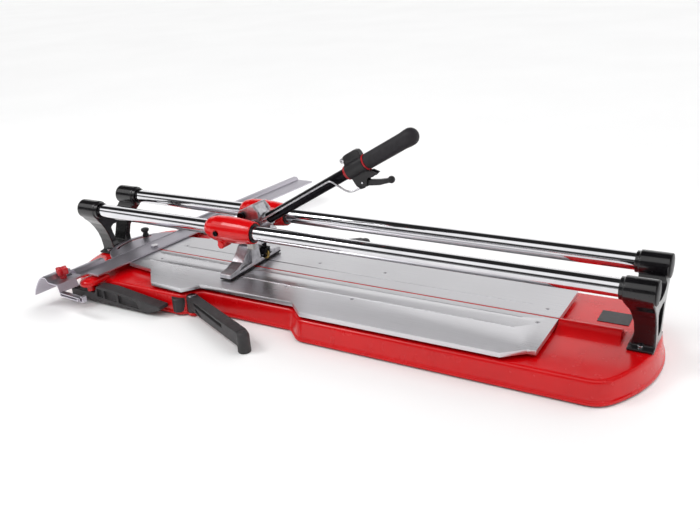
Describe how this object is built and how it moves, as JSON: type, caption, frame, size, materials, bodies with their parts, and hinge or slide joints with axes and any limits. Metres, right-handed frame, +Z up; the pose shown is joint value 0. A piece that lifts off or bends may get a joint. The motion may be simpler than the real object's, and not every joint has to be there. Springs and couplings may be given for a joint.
{
  "type": "tile cutter",
  "caption": "Manual tile cutter: pressed base with sprung beds, twin guide bars, sliding scoring and breaking carriage on a long lever, swivelling fence and fold-out side arms.",
  "frame": {"origin": "on the bench under the middle of the whole object's bounding box, fence and swung-out arms included", "axes": "+X along the cut, away from the fence; +Y across the cut towards the back; +Z up"},
  "size_m": [1.247, 0.8364, 0.3739],
  "materials": {
    "red_paint": "glossy bright red enamel",
    "red_casting": "glossy red enamel on an aluminium casting",
    "black_casting": "semi-gloss black enamel on an aluminium casting",
    "chrome": "polished hard chrome",
    "bare_aluminium": "brushed bare aluminium plate with milled edges",
    "anodised_aluminium": "satin grey anodised extrusion",
    "cast_aluminium": "tumbled die-cast aluminium",
    "black_plastic": "fine-textured black moulding",
    "grey_plastic": "textured dark grey glass-filled moulding",
    "red_plastic": "satin red moulding",
    "rubber": "soft matt black rubber",
    "black_steel": "black oxide steel",
    "bright_steel": "bright zinc-plated steel",
    "gold_steel": "gold-coloured titanium nitride coating",
    "label_vinyl": "plain dark vinyl label, blank"
  },
  "bodies": {
    "base": {"base_pan": "red_paint", "breaking_rail": "red_paint", "left_guide_support": "black_casting", "right_guide_support": "black_casting", "rear_label": "label_vinyl", "fence_pivot_bolt": "bright_steel", "angle_lock_stud": "bright_steel", "front_guide_bar": "chrome", "rear_guide_bar": "chrome", "front_left_guide_cap": "black_plastic", "front_right_guide_cap": "black_plastic", "rear_left_guide_cap": "black_plastic", "rear_right_guide_cap": "black_plastic", "front_left_foot": "rubber", "front_right_foot": "rubber", "rear_left_foot": "rubber", "rear_right_foot": "rubber", "front_bed_buffer_left": "rubber", "front_bed_buffer_right": "rubber", "rear_bed_buffer_left": "rubber", "rear_bed_buffer_right": "rubber", "front_middle_arm_pin": "bright_steel", "front_side_arm_pin": "bright_steel", "rear_middle_arm_pin": "bright_steel", "rear_side_arm_pin": "bright_steel"},
    "front_bed": {"front_bed": "bare_aluminium"},
    "rear_bed": {"rear_bed": "bare_aluminium"},
    "fence": {"fence_rail": "anodised_aluminium", "protractor": "anodised_aluminium", "stop_clamp_stud": "bright_steel"},
    "stop": {"fence_stop": "anodised_aluminium"},
    "stop_knob": {"stop_clamp_knob": "red_plastic"},
    "lock_knob": {"angle_lock_knob": "black_plastic"},
    "front_middle_arm": {"front_middle_arm": "grey_plastic"},
    "rear_middle_arm": {"rear_middle_arm": "grey_plastic"},
    "front_side_arm": {"front_side_arm": "grey_plastic"},
    "rear_side_arm": {"rear_side_arm": "grey_plastic"},
    "carriage": {"carriage_block": "cast_aluminium", "lever_pivot_bolt": "black_steel", "lever_pivot_nut": "black_steel", "breaker_spring": "bright_steel", "front_guide_housing": "red_casting", "rear_guide_housing": "red_casting", "front_guide_bush": "black_plastic", "rear_guide_bush": "black_plastic"},
    "lever": {"lever_yoke": "cast_aluminium", "lever_bar": "black_steel", "grip": "rubber", "grip_collar": "red_plastic", "lever_collar": "red_plastic", "trigger_bracket": "black_plastic", "trigger_pin": "bright_steel"},
    "trigger": {"trigger": "black_plastic"},
    "control_rod": {"control_rod": "bright_steel"},
    "breaker": {"breaker_foot": "cast_aluminium", "front_breaker_pad": "rubber", "rear_breaker_pad": "rubber"},
    "wheel_holder": {"wheel_holder": "black_steel", "wheel_axle": "bright_steel"},
    "scoring_wheel": {"scoring_wheel": "gold_steel"}
  },
  "joints": [
    {"name": "carriage_slide", "type": "slide", "parent": "base", "child": "carriage", "axis": [1, 0, 0], "range_m": [-0.23, 0.69]},
    {"name": "lever_tilt", "type": "hinge", "parent": "carriage", "child": "lever", "pos_m": [-0.193, -0.15791, 0.178], "axis": [0, 1, 0], "range_deg": [-50, 20]},
    {"name": "breaker_drop", "type": "slide", "parent": "carriage", "child": "breaker", "axis": [0, 0, -1], "range_m": [-0.0038, 0.0016], "deforming": ["breaker_spring"]},
    {"name": "wheel_drop", "type": "slide", "parent": "carriage", "child": "wheel_holder", "axis": [0, 0, -1], "range_m": [-0.0151, 0.0061]},
    {"name": "wheel_spin", "type": "hinge", "parent": "wheel_holder", "child": "scoring_wheel", "pos_m": [-0.162, -0.15791, 0.092], "axis": [0, 1, 0], "continuous": true},
    {"name": "trigger_pull", "type": "hinge", "parent": "lever", "child": "trigger", "pos_m": [0.08484, -0.15791, 0.26855], "axis": [0, -1, 0], "range_deg": [0, 12]},
    {"name": "control_rod_pull", "type": "slide", "parent": "lever", "child": "control_rod", "axis": [0.8669, 0, 0.4985], "range_m": [0, 0.00136], "stiffness_N_per_m": 7000, "springref_m": -0.002},
    {"name": "front_bed_sink", "type": "slide", "parent": "base", "child": "front_bed", "axis": [0, 0, 1], "range_m": [-0.003, 0], "stiffness_N_per_m": 20000, "springref_m": 0.003, "deforming": ["front_bed_buffer_left", "front_bed_buffer_right"]},
    {"name": "rear_bed_sink", "type": "slide", "parent": "base", "child": "rear_bed", "axis": [0, 0, 1], "range_m": [-0.003, 0], "stiffness_N_per_m": 20000, "springref_m": 0.003, "deforming": ["rear_bed_buffer_left", "rear_bed_buffer_right"]},
    {"name": "fence_swivel", "type": "hinge", "parent": "base", "child": "fence", "pos_m": [-0.476, -0.15791, 0.062], "axis": [0, 0, -1], "range_deg": [-4.3, 40.7]},
    {"name": "stop_slide", "type": "slide", "parent": "fence", "child": "stop", "axis": [-0.075, -0.9972, 0], "range_m": [0, 0.018]},
    {"name": "stop_knob_turn", "type": "hinge", "parent": "fence", "child": "stop_knob", "pos_m": [-0.52371, -0.37896, 0.08], "axis": [0, 0, 1], "range_deg": [0, 360]},
    {"name": "lock_knob_turn", "type": "hinge", "parent": "base", "child": "lock_knob", "pos_m": [-0.54813, -0.11108, 0.072], "axis": [0, 0, 1], "range_deg": [0, 360]},
    {"name": "front_middle_arm_swing", "type": "hinge", "parent": "base", "child": "front_middle_arm", "pos_m": [-0.246, -0.30091, 0.02], "axis": [0, 0, -1], "range_deg": [-24.1, 65.9]},
    {"name": "rear_middle_arm_swing", "type": "hinge", "parent": "base", "child": "rear_middle_arm", "pos_m": [-0.246, -0.01491, 0.02], "axis": [0, 0, 1], "range_deg": [-37, 53]},
    {"name": "front_side_arm_swing", "type": "hinge", "parent": "base", "child": "front_side_arm", "pos_m": [-0.545, -0.33242, 0.02], "axis": [0, 0, -1], "range_deg": [0, 90]},
    {"name": "rear_side_arm_swing", "type": "hinge", "parent": "base", "child": "rear_side_arm", "pos_m": [-0.545, 0.01658, 0.02], "axis": [0, 0, 1], "range_deg": [0, 90]}
  ],
  "couplings": [
    {"joint": "breaker_drop", "follows": "lever_tilt", "m_per_rad": 0.0042},
    {"joint": "wheel_drop", "follows": "lever_tilt", "m_per_rad": 0.0171},
    {"joint": "trigger_pull", "follows": "control_rod_pull", "rad_per_m": 153.8}
  ]
}
